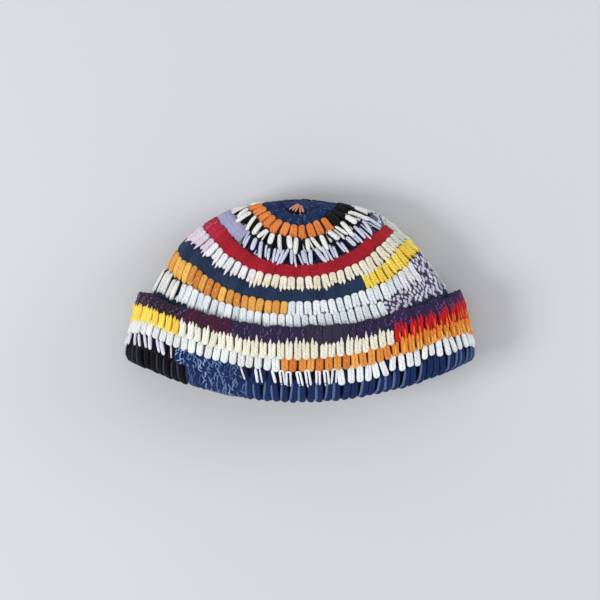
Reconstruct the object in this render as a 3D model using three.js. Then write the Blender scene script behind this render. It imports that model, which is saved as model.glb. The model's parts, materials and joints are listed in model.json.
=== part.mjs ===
// A crocheted watch cap with a turned-up cuff, lying on its back on a flat surface.
// The crown is worked from its closed top in rounds of tall stitches, down to the fold of the
// cuff, where the same fabric turns outwards and runs back up as the cuff.
//
// Millimetres. X is to the wearer's side, +Y is towards the closed top of the crown,
// -Y towards the open mouth, and +Z up from the surface that the cap lies on.

import * as THREE from "three";

// Driving sizes
const WALL = 5.5; // crocheted fabric, one layer
const SEAT_GAP = 0.7; // air between the crown's lower end and the inside of the fold
const FOLD_LENGTH = 4.5; // how far the fold's round nose stands past the crown's end
const LAP = 1.4; // each round's base stands this much proud of the round before it
const LAP_START = 0.1; // share of a round over which that step rises
const AROUND = 64; // points round each ring
const CROWN_ROUNDS = 10; // rounds that show above the cuff
const FOLD_ROUND = 15; // the rounds' count where the crown ends, inside the fold
const CUFF_ROUNDS = 5;

// Each row is the lower edge of one round, as a closed ring. half is its half width, sideY and
// sideZ the place of its widest point, frontY and topZ its highest point, backY and underZ its
// lowest point before the surface presses it flat, restZ what it rests on, and drift how far
// the whole ring lies to one side.
const COLUMNS = ["half", "sideY", "frontY", "topZ", "sideZ", "backY", "underZ", "restZ", "drift"];
const CROWN = [
  [0.0, 70.2, 70.2, 34.0, 34.0, 70.2, 34.0, 0, 0.0],
  [13.2, 71.0, 63.4, 41.2, 33.0, 73.0, 24.5, 0, 0.0],
  [26.6, 70.4, 55.4, 47.4, 31.0, 71.4, 14.0, 0, 0.0],
  [37.8, 68.8, 46.2, 52.8, 28.8, 65.4, 4.6, 0, -0.2],
  [48.4, 65.8, 36.2, 57.4, 26.6, 56.0, -1.6, 0, -0.4],
  [58.9, 60.8, 26.4, 61.4, 24.8, 45.6, -3.6, 0, -0.7],
  [69.4, 54.2, 17.2, 64.8, 23.4, 35.1, -4.0, 0, -1.1],
  [78.9, 46.2, 8.6, 67.8, 22.4, 24.6, -4.0, 0, -1.5],
  [88.0, 37.0, -0.4, 70.2, 21.8, 14.1, -3.8, 0, -1.5],
  [96.2, 24.4, -10.0, 72.0, 21.4, 3.4, -3.0, 0.6, -1.0],
  [105.6, 9.0, -20.0, 73.0, 21.6, -7.4, 2.4, 6.4, -0.2],
  [110.2, -1.6, -31.6, 73.4, 21.8, -17.6, 2.4, 6.4, 0.0],
  [113.2, -11.2, -41.2, 73.0, 21.8, -27.8, 2.4, 6.4, 0.0],
  [115.8, -20.8, -50.6, 71.8, 21.6, -38.0, 2.4, 6.4, 0.0],
  [117.2, -30.2, -60.8, 69.2, 21.4, -48.2, 2.6, 6.6, 0.0],
  [116.0, -38.6, -69.8, 64.6, 21.6, -58.0, 3.2, 7.2, 0.0],
];
// The cuff's outer face, from the fold up to its free edge.
const CUFF = [
  [126.6, -40.4, -70.4, 71.8, 21.2, -58.8, -3.0, 0, 0.0],
  [126.6, -32.6, -62.4, 75.8, 21.6, -49.0, -3.6, 0, 0.0],
  [124.8, -23.6, -51.4, 78.4, 21.8, -38.6, -3.6, 0, 0.0],
  [122.6, -14.2, -42.0, 79.8, 21.8, -28.2, -3.6, 0, 0.0],
  [119.8, -4.0, -32.0, 80.2, 21.8, -17.8, -3.6, 0, 0.0],
  [117.2, 4.8, -20.6, 79.8, 21.8, -8.0, -3.0, 0, 0.0],
];
const UNDERSIDE_POWER = 3; // 2 would be an ellipse; more gives the flatter belly of lying cloth

// One table read at a fractional row, as a smooth curve through its rows.
function readTable(table, at) {
  const first = Math.min(Math.max(Math.floor(at), 0), table.length - 2);
  const t = at - first;
  const row = (i) => table[Math.min(Math.max(i, 0), table.length - 1)];
  const values = {};
  COLUMNS.forEach((name, c) => {
    const [a, b] = [row(first)[c], row(first + 1)[c]];
    const before = first > 0 ? row(first - 1)[c] : 2 * a - b;
    const after = first < table.length - 2 ? row(first + 2)[c] : 2 * b - a;
    const [slopeA, slopeB] = [(b - before) / 2, (after - a) / 2];
    values[name] =
      a * (1 + 2 * t) * (1 - t) ** 2 +
      slopeA * t * (1 - t) ** 2 +
      b * t * t * (3 - 2 * t) +
      slopeB * t * t * (t - 1);
  });
  return values;
}

// A point of the ring at an angle: 0 is the top, a quarter turn the side, a half turn the belly.
function ringPoint(ring, angle) {
  const [s, c] = [Math.sin(angle), Math.cos(angle)];
  const reach = c >= 0 ? ring.frontY : ring.backY;
  const y = ring.sideY + (reach - ring.sideY) * c * c;
  const belly = (1 - Math.abs(s) ** UNDERSIDE_POWER) ** (1 / UNDERSIDE_POWER);
  const free = c >= 0 ? ring.topZ - ring.sideZ : (ring.sideZ - ring.underZ) * -1;
  const z = ring.sideZ + free * (c >= 0 ? c : belly);
  return new THREE.Vector3(ring.drift + ring.half * s, y, Math.max(z, Math.min(ring.restZ, ring.sideZ)));
}

// Angles that space a ring's points evenly along its length.
function evenAngles(table, at) {
  const steps = 720;
  const ring = readTable(table, at);
  const lengths = [0];
  let last = ringPoint(ring, 0);
  for (let i = 1; i <= steps; i++) {
    const next = ringPoint(ring, (i / steps) * 2 * Math.PI);
    lengths.push(lengths[i - 1] + next.distanceTo(last));
    last = next;
  }
  const angles = [];
  for (let n = 0, i = 0; n < AROUND; n++) {
    const goal = (n / AROUND) * lengths[steps];
    while (lengths[i + 1] <= goal) i++;
    const share = (goal - lengths[i]) / (lengths[i + 1] - lengths[i]);
    angles.push(((i + share) / steps) * 2 * Math.PI);
  }
  return angles;
}

// Outward normal of a face at a fractional round and an angle. sign turns it for a table that
// runs the other way.
function normalAt(table, at, angle, sign) {
  const step = 0.02;
  const low = Math.max(at - step, 0.0);
  const high = Math.min(at + step, table.length - 1);
  const spread = 0.02;
  const along = ringPoint(readTable(table, high), angle).sub(ringPoint(readTable(table, low), angle));
  const ring = readTable(table, Math.max(at, step));
  const across = ringPoint(ring, angle + spread).sub(ringPoint(ring, angle - spread));
  return along.cross(across).multiplyScalar(sign).normalize();
}

// A ring of points at a distance outside or inside the face.
function offsetRing(table, at, sign, distance) {
  const angles = evenAngles(table, Math.max(at, 0.05));
  const ring = readTable(table, at);
  return angles.map((angle) => {
    const point = ringPoint(ring, angle);
    const far = typeof distance === "function" ? distance(angle, point) : distance;
    return point.addScaledVector(normalAt(table, at, angle, sign), far);
  });
}

// The lapped relief of the rounds fades out on the belly, which the surface presses flat.
function relief(amount, point) {
  const fadeFrom = 5;
  const fadeOver = 12;
  return amount * Math.min(Math.max((point.z - fadeFrom) / fadeOver, 0), 1);
}

// Rings of one face with a step at the base of each round.
function lappedRings(table, sign, from, to) {
  const rings = [];
  for (let round = from; round < to; round++) {
    rings.push([round + LAP_START, LAP / 2]);
    rings.push([round + 1, -LAP / 2]);
  }
  return rings.map(([at, amount]) =>
    offsetRing(table, at, sign, (angle, point) => relief(amount, point)),
  );
}

// A closed mesh through a list of rings: from pole to pole, or round and back to the first ring.
// The two kinds split their four-sided faces along opposite diagonals, so that faces of the crown
// and the cuff that lie side by side bend alike and keep their gap.
function loft(rings, poles) {
  const points = rings.flat();
  const faces = [];
  const loops = poles ? rings.length - 1 : rings.length;
  for (let r = 0; r < loops; r++) {
    const [a, b] = [r * AROUND, ((r + 1) % rings.length) * AROUND];
    for (let i = 0; i < AROUND; i++) {
      const j = (i + 1) % AROUND;
      if (poles) faces.push(a + i, b + i, b + j, a + i, b + j, a + j);
      else faces.push(a + i, b + i, a + j, a + j, b + i, b + j);
    }
  }
  if (poles) {
    const [start, end] = [points.length, points.length + 1];
    const last = (rings.length - 1) * AROUND;
    points.push(poles[0], poles[1]);
    for (let i = 0; i < AROUND; i++) {
      const j = (i + 1) % AROUND;
      faces.push(start, i, j, end, last + j, last + i);
    }
  }
  const geometry = new THREE.BufferGeometry().setFromPoints(points);
  geometry.setIndex(faces);
  geometry.computeVertexNormals();
  return geometry;
}

// Crown: the outer face from the closed top to the fold, and the smooth inner face back again.
const CROWN_SIGN = 1;
const CUFF_SIGN = -1;

function crownGeometry() {
  const outer = lappedRings(CROWN, CROWN_SIGN, 0, CROWN_ROUNDS);
  const behindCuff = [11, 12, 13, 14, FOLD_ROUND].map((at) => offsetRing(CROWN, at, CROWN_SIGN, 0));
  const inner = [15, 14, 13, 12, 11, 10, 9, 8, 7, 6, 5, 4, 3, 2, 1].map((at) =>
    offsetRing(CROWN, at, CROWN_SIGN, -WALL),
  );
  const top = ringPoint(readTable(CROWN, 0), 0);
  const topNormal = normalAt(CROWN, 0.3, 0, CROWN_SIGN).add(normalAt(CROWN, 0.3, Math.PI, CROWN_SIGN));
  const innerTop = top.clone().addScaledVector(topNormal.normalize(), -WALL);
  return loft([...outer, ...behindCuff, ...inner], [top, innerTop]);
}

// The fold's nose, as angles from the cuff's outer face round to the crown's inner face.
const NOSE_TURNS = [30, 60, 90, 120, 150].map((degrees) => (degrees * Math.PI) / 180);

// Rings round the fold, from the cuff's outer face under the crown's end to its inner face.
function foldRings() {
  const outer = offsetRing(CUFF, 0, CUFF_SIGN, 0);
  const crownEnd = offsetRing(CROWN, FOLD_ROUND, CROWN_SIGN, 0);
  const crownInner = offsetRing(CROWN, FOLD_ROUND, CROWN_SIGN, -WALL);
  const crownBefore = offsetRing(CROWN, FOLD_ROUND - 0.5, CROWN_SIGN, 0);
  const outwards = crownEnd.map((point, i) => point.clone().sub(crownBefore[i]).normalize());
  const nose = NOSE_TURNS.map((turn) =>
    outer.map((point, i) => {
      const middle = point.clone().add(crownInner[i]).multiplyScalar(0.5);
      const half = point.clone().sub(crownInner[i]).multiplyScalar(0.5);
      return middle
        .addScaledVector(half, Math.cos(turn))
        .addScaledVector(outwards[i], SEAT_GAP + FOLD_LENGTH * Math.sin(turn));
    }),
  );
  const seatInner = crownInner.map((point, i) => point.clone().addScaledVector(outwards[i], SEAT_GAP));
  const seatOuter = crownEnd.map((point, i) => point.clone().addScaledVector(outwards[i], SEAT_GAP));
  return [...nose, seatInner, seatOuter];
}

// Cuff: the turned-up band in one piece with the round nose of the fold.
function cuffGeometry() {
  const inner = [0.2, 1, 2, 3, 4, 5].map((at) => offsetRing(CUFF, at, CUFF_SIGN, -WALL));
  const outer = lappedRings(CUFF, CUFF_SIGN, 0, CUFF_ROUNDS).reverse();
  return loft([...outer, ...foldRings(), ...inner], null);
}

function piece(name, geometry, colour) {
  const material = new THREE.MeshStandardMaterial({ color: colour, roughness: 0.92, metalness: 0 });
  const mesh = new THREE.Mesh(geometry, material);
  mesh.name = name;
  return mesh;
}

const cap = new THREE.Group();
cap.add(piece("crown", crownGeometry(), "#d9d8cf"));
cap.add(piece("cuff", cuffGeometry(), "#2c4a86"));

export default cap;
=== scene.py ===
# %% [markdown]
# # A crocheted watch cap, lying on its back
#
# The real cap is one long fabric of thick yarn. It is worked in rounds from the closed top of
# the crown down to the fold, where it turns outwards and runs back up as the cuff. Each round is
# a ring of tall stitches, and the yarn changes colour as it goes round.
#
# The frame holds the cap's solid form as two nodes, crown and cuff. This script lays every
# stitch on that form as real yarn, round by round.

# %% Load the frame
import json
import math

import bmesh
import bpy
import numpy as np
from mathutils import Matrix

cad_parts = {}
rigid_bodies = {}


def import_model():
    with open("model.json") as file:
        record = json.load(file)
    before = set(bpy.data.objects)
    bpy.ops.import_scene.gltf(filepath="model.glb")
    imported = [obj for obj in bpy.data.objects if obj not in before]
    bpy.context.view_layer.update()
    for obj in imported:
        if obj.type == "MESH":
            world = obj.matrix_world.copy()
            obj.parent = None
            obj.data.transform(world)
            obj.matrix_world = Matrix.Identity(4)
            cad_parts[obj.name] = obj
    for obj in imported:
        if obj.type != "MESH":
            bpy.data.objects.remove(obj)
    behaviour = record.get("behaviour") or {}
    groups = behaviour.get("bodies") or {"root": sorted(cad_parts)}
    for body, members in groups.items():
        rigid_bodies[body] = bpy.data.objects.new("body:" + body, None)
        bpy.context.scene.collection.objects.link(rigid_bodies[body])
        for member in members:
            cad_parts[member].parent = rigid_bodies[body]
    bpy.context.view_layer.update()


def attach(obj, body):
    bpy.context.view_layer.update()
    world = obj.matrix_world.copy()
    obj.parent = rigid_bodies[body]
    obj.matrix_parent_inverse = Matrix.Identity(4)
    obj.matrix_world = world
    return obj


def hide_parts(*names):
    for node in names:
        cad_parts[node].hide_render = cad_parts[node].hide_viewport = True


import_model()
MM = 0.001

# %% [markdown]
# ## The form that the stitches lie on
#
# A cap that lies on its back is an arch on top and a flat belly below. Each round's lower edge
# is a closed ring, so a short table of rings gives the whole form: half its width, where its
# widest, highest and lowest points are, and the height that it rests at. Reading the table at a
# fractional row as a smooth curve gives any ring in between. These are the frame's own sizes, in
# millimetres, so that the yarn lies where the solid is.

# %% Tables of rings
# Columns: half width, side y, front y, top z, side z, back y, under z, rest z, drift.
CROWN = np.array([
    [0.0, 70.2, 70.2, 34.0, 34.0, 70.2, 34.0, 0, 0.0],
    [13.2, 71.0, 63.4, 41.2, 33.0, 73.0, 24.5, 0, 0.0],
    [26.6, 70.4, 55.4, 47.4, 31.0, 71.4, 14.0, 0, 0.0],
    [37.8, 68.8, 46.2, 52.8, 28.8, 65.4, 4.6, 0, -0.2],
    [48.4, 65.8, 36.2, 57.4, 26.6, 56.0, -1.6, 0, -0.4],
    [58.9, 60.8, 26.4, 61.4, 24.8, 45.6, -3.6, 0, -0.7],
    [69.4, 54.2, 17.2, 64.8, 23.4, 35.1, -4.0, 0, -1.1],
    [78.9, 46.2, 8.6, 67.8, 22.4, 24.6, -4.0, 0, -1.5],
    [88.0, 37.0, -0.4, 70.2, 21.8, 14.1, -3.8, 0, -1.5],
    [96.2, 24.4, -10.0, 72.0, 21.4, 3.4, -3.0, 0.6, -1.0],
    [105.6, 9.0, -20.0, 73.0, 21.6, -7.4, 2.4, 6.4, -0.2],
    [110.2, -1.6, -31.6, 73.4, 21.8, -17.6, 2.4, 6.4, 0.0],
    [113.2, -11.2, -41.2, 73.0, 21.8, -27.8, 2.4, 6.4, 0.0],
    [115.8, -20.8, -50.6, 71.8, 21.6, -38.0, 2.4, 6.4, 0.0],
    [117.2, -30.2, -60.8, 69.2, 21.4, -48.2, 2.6, 6.6, 0.0],
    [116.0, -38.6, -69.8, 64.6, 21.6, -58.0, 3.2, 7.2, 0.0],
])
CUFF = np.array([
    [126.6, -40.4, -70.4, 71.8, 21.2, -58.8, -3.0, 0, 0.0],
    [126.6, -32.6, -62.4, 75.8, 21.6, -49.0, -3.6, 0, 0.0],
    [124.8, -23.6, -51.4, 78.4, 21.8, -38.6, -3.6, 0, 0.0],
    [122.6, -14.2, -42.0, 79.8, 21.8, -28.2, -3.6, 0, 0.0],
    [119.8, -4.0, -32.0, 80.2, 21.8, -17.8, -3.6, 0, 0.0],
    [117.2, 4.8, -20.6, 79.8, 21.8, -8.0, -3.0, 0, 0.0],
])
WALL = 5.5  # one layer of fabric
SEAT_GAP = 0.7  # air between the crown's lower end and the inside of the fold
FOLD_LENGTH = 4.5  # how far the fold's round nose stands past the crown's end
UNDERSIDE_POWER = 3
REST_LIFT = 0.9  # the face lies so far above the table, and the yarn's bends reach down to it
FOLD_ROW = 15
NOSE_ROWS = 1.7  # how many rounds' height the nose of the fold takes


# %% Rings as points
def read_rows(table, at):
    """A table at fractional rows, on a smooth curve through its rows."""
    at = np.atleast_1d(np.asarray(at, float))
    first = np.clip(np.floor(at).astype(int), 0, len(table) - 2)
    t = (at - first)[:, None]
    padded = np.vstack([2 * table[:1] - table[1:2], table, 2 * table[-1:] - table[-2:-1]])
    before, start, end, after = (padded[first + k] for k in range(4))
    slope_in, slope_out = (end - before) / 2, (after - start) / 2
    rise = start * (1 + 2 * t) * (1 - t) ** 2 + slope_in * t * (1 - t) ** 2
    return rise + end * t * t * (3 - 2 * t) + slope_out * t * t * (t - 1)


def ring_points(ring, angles):
    """Points of one ring: angle 0 is its top, a quarter turn its side, a half turn its belly."""
    half, side_y, front_y, top_z, side_z, back_y, under_z, rest_z, drift = ring
    s, c = np.sin(angles), np.cos(angles)
    reach = np.where(c >= 0, front_y, back_y)
    belly = (1 - np.minimum(np.abs(s), 1) ** UNDERSIDE_POWER) ** (1 / UNDERSIDE_POWER)
    z = side_z + np.where(c >= 0, (top_z - side_z) * c, (under_z - side_z) * belly)
    z = np.maximum(z, min(rest_z + REST_LIFT, side_z))
    return np.stack([drift + half * s, side_y + (reach - side_y) * c * c, z], -1)


def even_angles(ring, count):
    """Angles that space points evenly along a ring, from its top round to its top again."""
    fine = np.linspace(0, 2 * math.pi, 721)
    points = ring_points(ring, fine)
    length = np.concatenate([[0], np.cumsum(np.linalg.norm(np.diff(points, axis=0), axis=1))])
    return np.interp(np.linspace(0, length[-1], count + 1), length, fine)


def rings(table, rows, columns):
    """A grid of points, one ring for each row."""
    return np.array([ring_points(r, even_angles(r, columns)) for r in read_rows(table, rows)])


def outward_of(grid, sign):
    """The grid's unit normals, away from the fabric."""
    along = np.gradient(grid, axis=0)
    ringed = np.concatenate([grid[:, -2:-1], grid, grid[:, 1:2]], axis=1)
    across = (ringed[:, 2:] - ringed[:, :-2]) / 2
    normal = np.cross(along, across) * sign
    length = np.linalg.norm(normal, axis=-1, keepdims=True)
    return normal / np.maximum(length, 1e-9)


# %% [markdown]
# ## The faces of the fabric
#
# The crown's outer face runs from the closed top to the fold. The cuff's face starts inside the
# fold, comes round its nose and runs up to the free edge. The crown's inner side and the back of
# the cuff are these faces set back by the thickness of the wall. Each is kept as a grid of points
# with the direction out of the fabric at each point, so that a stitch can be placed by two
# numbers, the share of the way round and the round's count.

# %% Make the faces
COLUMNS = 180
STEP = 0.1  # rows between rings
FIRST_RING = 0.02  # row 0 is a single point, so the crown's face starts just past it
SPARE_ROWS = 0.7  # the cuff's face goes on past its edge, where tips reach over it
BACK_ROW = 2.4  # the back of the cuff starts here
FOLD_RINGS = 6  # as many rings at the crown's end give the fold its direction


def crown_face():
    rows = np.arange(FIRST_RING, FOLD_ROW + 0.5 * STEP, STEP)
    grid = rings(CROWN, rows, COLUMNS)
    return rows, grid, outward_of(grid, 1)


def cuff_face(crown_grid, crown_out):
    """From inside the fold, round its nose, and up the cuff."""
    rows = np.arange(0, len(CUFF) - 1 + SPARE_ROWS, STEP)
    cuff = rings(CUFF, rows, COLUMNS)
    crown_end = crown_grid[-1]
    inner = crown_end - crown_out[-1] * WALL
    outwards = crown_end - crown_grid[-FOLD_RINGS]
    outwards /= np.linalg.norm(outwards, axis=-1, keepdims=True)
    nose_rows = np.arange(-NOSE_ROWS, -0.5 * STEP, STEP)
    middle, half = (cuff[0] + inner) / 2, (cuff[0] - inner) / 2
    nose = []
    for row in nose_rows:
        turn = math.pi * -row / NOSE_ROWS
        reach = SEAT_GAP + FOLD_LENGTH * math.sin(turn)
        nose.append(middle + half * math.cos(turn) + outwards * reach)
    grid = np.concatenate([nose, cuff])
    return np.concatenate([nose_rows, rows]), grid, outward_of(grid, -1)


def back_of(rows, grid, out):
    """The other side of the fabric."""
    return rows, grid - out * WALL, -out


crown = crown_face()
cuff = cuff_face(*crown[1:])
behind = cuff[0] > BACK_ROW
FACES = {
    "crown": crown,
    "cuff": cuff,
    "inside": back_of(*crown),
    "cuff_back": tuple(part[behind] for part in back_of(*cuff)),
}


# %% [markdown]
# ## Faces as guide meshes
#
# Geometry Nodes can look up a place on a mesh by its UV coordinates. So each face becomes a
# guide mesh whose UV map is flat swatch space: u is the share of the way round and v the share
# of the rows. Stitches are then made flat, as on a swatch, and laid on the guide.
#
# Soft rounds don't lie level. The crown's hang a little between its middle and its sides, and the
# cuff's rise there. A small shift of v bends the rounds so, with all the stitches on them.

# %% Build guide meshes
def mesh_object(name, points, faces):
    mesh = bpy.data.meshes.new(name)
    mesh.from_pydata([tuple(p) for p in points], [], faces)
    made = bpy.data.objects.new(name, mesh)
    bpy.context.scene.collection.objects.link(made)
    return made


SAG = 0.29  # rounds, where the crown's rounds hang lowest
SAG_ROWS = 12  # the crown's rounds from its top that hang
SAG_PEAK = 6.75  # brings the highest point of the curve from side to side to 1
SIDE_SAG = 0.55  # rounds more near the right end of one round
SIDE_AT, SIDE_REACH = 0.92, 0.1  # where across the cap that is, and how wide
ROUND_AT, ROUND_REACH = 5.2, 1.2  # which round it is, and how many beside it
RISE = 0.76  # the cuff's rounds stand about half of this higher, in rounds
UPPER_Z = 0.3  # where a face looks up more than this, it is all upper side


def settled(name):
    """The round's count at each point of a face, as rounds aren't quite level by hand."""
    rows, grid, out = FACES[name]
    counts = np.repeat(rows[:, None], grid.shape[1], axis=1)
    side = grid[..., 0] / np.abs(grid[..., 0]).max(axis=1, keepdims=True)
    upper = np.clip(out[..., 2] / UPPER_Z, 0, 1)
    if name == "cuff":
        up = np.clip(counts / (len(CUFF) - 1), 0, 1)
        return counts - RISE * side ** 2 * (1 - side ** 8) * np.sin(math.pi * up) * upper
    if name != "crown":
        return counts
    down = np.minimum(counts / SAG_ROWS, 1)
    hang = SAG * SAG_PEAK * side ** 2 * (1 - side ** 2) ** 2 * np.sin(math.pi * down) ** 2
    aside, below = (side - SIDE_AT) / SIDE_REACH, (counts - ROUND_AT) / ROUND_REACH
    hang += SIDE_SAG * np.exp(-aside ** 2 - below ** 2)
    return counts - hang * upper


def guide_mesh(name):
    rows, grid, out = FACES[name]
    high, wide = grid.shape[:2]
    faces = []
    for r in range(high - 1):
        for c in range(wide - 1):
            a = r * wide + c
            faces.append((a, a + 1, a + 1 + wide, a + wide))
    guide = mesh_object(name + "_guide", grid.reshape(-1, 3) * MM, faces)
    outward = guide.data.attributes.new("outward", "FLOAT_VECTOR", "POINT")
    outward.data.foreach_set("vector", out.reshape(-1).astype(np.float32))
    share = np.tile(np.linspace(0, 1, wide), high)
    up = ((settled(name) - rows[0]) / (rows[-1] - rows[0])).ravel()
    corner = np.array([loop.vertex_index for loop in guide.data.loops])
    flat = guide.data.uv_layers.new(name="swatch")
    places = np.stack([share[corner], up[corner]], -1)
    flat.data.foreach_set("uv", places.ravel().astype(np.float32))
    return guide


guides = {name: guide_mesh(name) for name in FACES}
for name in FACES:
    steps = np.diff(settled(name), axis=0) / STEP
    print(f"{name} rounds are {steps.min():.2f} to {steps.max():.2f} of the even height")


# %% [markdown]
# ## Yarns
#
# The yarn is matt and plump. Each yarn is named by two colours. Most stitches take a colour
# between the two, so that no two are quite alike. Marled and flecked stitches show both, the
# first in front and the second behind or beside it. The third word says how the stitch is built.

# %% Name the yarns
# Two colours and the kind of stitch.
YARNS = {
    # Navy's light-blue flecks are painted highlights, thin light lines over the navy.
    "navy": ((26, 46, 86), (84, 108, 156), "speckled"),
    "coral": ((222, 150, 128), (22, 24, 44), "topped"),
    "black": ((6, 6, 10), (20, 20, 26), "plain"),
    "orange": ((234, 142, 78), (224, 126, 58), "plain"),
    "white_on_black": ((240, 238, 234), (16, 16, 22), "marled"),
    "white_on_navy": ((212, 216, 234), (22, 30, 64), "streaked"),
    "lavender": ((178, 178, 204), (160, 160, 194), "dense"),
    "grey_white": ((92, 104, 124), (226, 232, 238), "mottled"),
    "pink_marl": ((184, 32, 58), (218, 118, 152), "speckled"),
    "crimson": ((172, 28, 44), (156, 24, 40), "dense"),
    "pale_green": ((228, 232, 216), (208, 216, 204), "rooted"),
    "pink_white": ((240, 226, 236), (226, 208, 226), "spiked"),
    "lilac_white": ((248, 246, 249), (238, 236, 242), "spiked"),
    "cream": ((248, 242, 226), (238, 226, 202), "spiked"),
    "slate_navy": ((38, 56, 84), (30, 46, 72), "dense"),
    "yellow": ((254, 228, 102), (246, 202, 66), "rooted"),
    "amber": ((240, 184, 60), (238, 214, 140), "rooted"),
    "golden": ((248, 196, 100), (206, 126, 56), "plain"),
    "pale_blue": ((240, 245, 247), (220, 228, 235), "rooted"),
    "violet_marl": ((74, 66, 98), (230, 228, 240), "mottled"),
    "aubergine_marl": ((46, 30, 50), (150, 118, 150), "speckled"),
    "maroon": ((66, 28, 52), (120, 50, 84), "speckled"),
    "aubergine": ((46, 38, 68), (104, 84, 120), "speckled"),
    "slate": ((50, 48, 70), (98, 52, 70), "speckled"),
    "plum": ((54, 36, 76), (124, 90, 140), "speckled"),
    "flame": ((200, 26, 36), (242, 122, 44), "flamed"),
    "ivory": ((238, 243, 243), (228, 232, 228), "plain"),
    "white": ((240, 240, 238), (230, 232, 232), "plain"),
    "straw_cream": ((246, 243, 228), (236, 230, 208), "spiked"),
    "apricot": ((244, 172, 88), (206, 116, 44), "plain"),
    "tangerine": ((234, 140, 52), (250, 206, 112), "glowing"),
    "blue_fleck": ((20, 44, 94), (158, 184, 222), "flecked"),
    "lilac_on_black": ((228, 224, 240), (10, 10, 16), "barred"),
    "drips_on_blue": ((236, 238, 244), (22, 38, 82), "barred"),
    "arches_on_blue": ((242, 242, 246), (22, 36, 76), "arched"),
    "teeth_on_blue": ((240, 243, 245), (20, 26, 50), "toothed"),
    # In the next two yarns the second colour is painted highlight: a lighter strand down one side
    # of some stitches, for the shine on their edges.
    "royal": ((24, 44, 92), (88, 110, 152), "stranded"),
    "black_gloss": ((4, 4, 8), (50, 52, 66), "stranded"),
}


def linear(colour):
    """Screen values from 0 to 255 as linear light."""
    share = np.array(colour, float) / 255
    return np.where(share <= 0.04045, share / 12.92, ((share + 0.055) / 1.055) ** 2.4)


# %% [markdown]
# ## The colour chart
#
# The maker changed yarn without a plan, so the stripes start and stop anywhere. The chart lists
# each round's count of stitches and its yarns from the left side to the right, each with the
# place across the cap, in millimetres, where it ends. The upper side comes first, and then the
# underside. The last five rounds of the crown lie behind the cuff, and only their inner side is
# seen, through the mouth.

# %% Chart the rounds
CROWN_CHART = [
    (10, "navy -5, coral 3, navy", "navy"),
    (20, "navy 27, black", "navy 4, black"),
    (30, "white_on_black -38, orange 23, black 37, white_on_black",
     "white_on_black -10, orange 8, black"),
    (38, "white_on_black", "white_on_black"),
    (48, "lavender -42, white_on_navy 52, grey_white", "lavender 0, grey_white"),
    (56, "pink_marl -56, crimson 63, pale_green", "crimson -10, pale_green"),
    (64, "pink_white -66, lilac_white -32, cream 66, pale_green", "pink_white -12, cream"),
    (72, "slate_navy 42, yellow 82, amber", "slate_navy 10, amber"),
    (78, "golden -7, pale_blue 70, lilac_white 84, violet_marl",
     "golden -30, slate_navy 24, cream"),
    (84, "white_on_black -88, pale_blue 62, violet_marl",
     "white_on_black -20, pale_blue 50, violet_marl"),
    # Round 11 shows only as a sliver at the cuff's edge. Its upper side is all dark slate navy,
    # which is painted shade under that edge.
    (86, "slate_navy", "slate_navy -20, cream"),
    (88, "amber -30, cream", "amber -10, cream"),
    (90, "pale_blue 40, golden", "pale_blue 0, apricot"),
    (90, "crimson -50, white_on_black", "crimson 30, black"),
    (90, "ivory 10, slate_navy", "ivory 40, slate_navy"),
]
CUFF_CHART = [
    (90, "black_gloss -84, blue_fleck -44, royal", "black_gloss -30, royal"),
    (90, "lilac_on_black -91, blue_fleck -44, drips_on_blue -20, arches_on_blue 24, teeth_on_blue",
     "lilac_on_black -20, teeth_on_blue"),
    (90, "white -98, ivory -14, apricot 66, tangerine", "white -30, cream 20, apricot"),
    (90, "yellow -89, straw_cream 69, flame", "yellow -40, straw_cream 30, flame"),
    (90, "aubergine_marl -87, maroon -50, aubergine 4, slate 36, aubergine 62, plum",
     "aubergine_marl -30, maroon 30, aubergine"),
]
HEM = (90, "royal", "royal")
VISIBLE_ROUNDS = 11  # rounds of the crown that come out above the cuff


def yarn_at(line, share, right, left, x):
    """The yarn of a round's line at a share of the way round, which is at x across the cap."""
    _, upper, under = line
    for span in (under if right < share < left else upper).split(", "):
        yarn, *end = span.split()
        if not end or x <= float(end[0]):
            return YARNS[yarn]


# %% [markdown]
# ## One stitch
#
# A tall crochet stitch is two legs of yarn side by side. They are one loop, whose bend hooks
# over the edge of the round before, so its bend is round and stands proud. A crossing strand
# fills the crease between the legs. A table gives half of the loop: how far to the side, how far
# up the round, the height over the face, and the share of the yarn's full thickness. The same
# reader that made the rings makes it smooth. Posts, bars, streaks and links are single strands
# for other kinds of stitch. Many hundreds of stitches are laid, so each strand gets few points.

# %% Shape the strands
STITCH_WIDTH = 6.2
STITCH_HEIGHT = 10.4
YARN_RADIUS = 1.64
LEG_SIDE = 1.06
LEG_HEIGHT = -1.3


def mirrored(half):
    """A half loop and its mirror image, joined at the bend."""
    half = np.array(half)
    return np.vstack([half * [-1, 1, 1, 1], half[-2::-1]])


FRONT, BACK = 0, 1  # whether a strand takes the yarn's first colour or its second


def strand(table, points, colour=FRONT,
           side=0.0, up=0.0, height=0.0, lean=0.0, thick=1.0, wide=1.0, long=1.0):
    """A strand moved, leaned, stretched or thinned, its count of points, and its colour."""
    new = np.array(table, float)
    new[:, 1] *= long
    new[:, 0] = new[:, 0] * wide + side + lean * (new[:, 1] - 0.5)
    new[:, 1] += up
    new[:, 2] += height
    new[:, 3] *= thick
    return new, points, colour


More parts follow.
